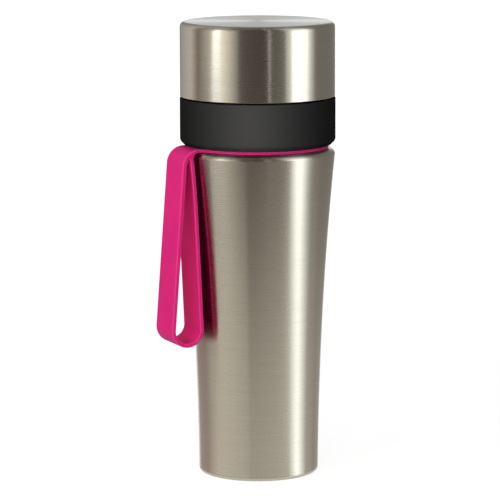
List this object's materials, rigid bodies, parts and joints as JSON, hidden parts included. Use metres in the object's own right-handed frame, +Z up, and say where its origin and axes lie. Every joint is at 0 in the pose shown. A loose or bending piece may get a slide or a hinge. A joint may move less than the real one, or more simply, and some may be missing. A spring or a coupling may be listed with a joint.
{
  "type": "insulated drinking bottle",
  "caption": "Brushed-steel double-walled bottle with a flared body, a screw-on lid with a drinking spout under a steel screw cap, and a silicone carry loop on a ring round the neck.",
  "frame": {"origin": "middle of the ring the bottle stands on, on the axis of the bottle", "axes": "+Z up along the axis of the bottle, the carry loop on the -X side, +Y to the right of the loop seen from outside"},
  "size_m": [0.0885, 0.0762, 0.2235],
  "materials": {
    "brushed_steel": "fine horizontal brushing",
    "bright_steel": "electropolished satin",
    "silicone": "matte moulded",
    "seal": "translucent matte",
    "grip": "soft-touch satin",
    "dark_plastic": "fine moulded grain",
    "foam": "beaded foam",
    "sealing_glass": "fused drop"
  },
  "bodies": {
    "bottle": {"outer_shell": "brushed_steel", "inner_flask": "bright_steel", "base_cup": "brushed_steel", "base_cover": "brushed_steel", "vacuum_seal": "sealing_glass", "getter": "bright_steel"},
    "strap_ring": {"strap_ring": "silicone"},
    "strap_loop": {"strap_loop": "silicone"},
    "neck_seal": {"neck_seal": "seal"},
    "lid": {"grip_sleeve": "grip", "lid_core": "dark_plastic", "drinking_spout": "dark_plastic", "spout_seal": "silicone", "mixing_screen": "dark_plastic"},
    "cap_seal": {"cap_seal": "seal"},
    "cap": {"cap_shell": "brushed_steel", "cap_liner": "dark_plastic", "cap_foam": "foam"}
  },
  "joints": [
    {"name": "strap_swivel", "type": "hinge", "parent": "bottle", "child": "strap_ring", "pos_m": [0, 0, 0.1625], "axis": [0, 0, 1], "continuous": true},
    {"name": "strap_swing", "type": "hinge", "parent": "strap_ring", "child": "strap_loop", "pos_m": [-0.0383, 0, 0.16279], "axis": [0, 1, 0], "range_deg": [0, 110]},
    {"name": "lid_rise", "type": "slide", "parent": "bottle", "child": "neck_seal", "axis": [0, 0, 1], "range_m": [0, 0.018]},
    {"name": "lid_turn", "type": "hinge", "parent": "neck_seal", "child": "lid", "pos_m": [0, 0, 0.175], "axis": [0, 0, 1], "range_deg": [0, 1080]},
    {"name": "cap_rise", "type": "slide", "parent": "lid", "child": "cap_seal", "axis": [0, 0, 1], "range_m": [0, 0.018]},
    {"name": "cap_turn", "type": "hinge", "parent": "cap_seal", "child": "cap", "pos_m": [0, 0, 0.205], "axis": [0, 0, 1], "range_deg": [0, 1080]}
  ],
  "couplings": [
    {"joint": "lid_rise", "follows": "lid_turn", "m_per_rad": 0.00095493},
    {"joint": "cap_rise", "follows": "cap_turn", "m_per_rad": 0.00095493}
  ]
}
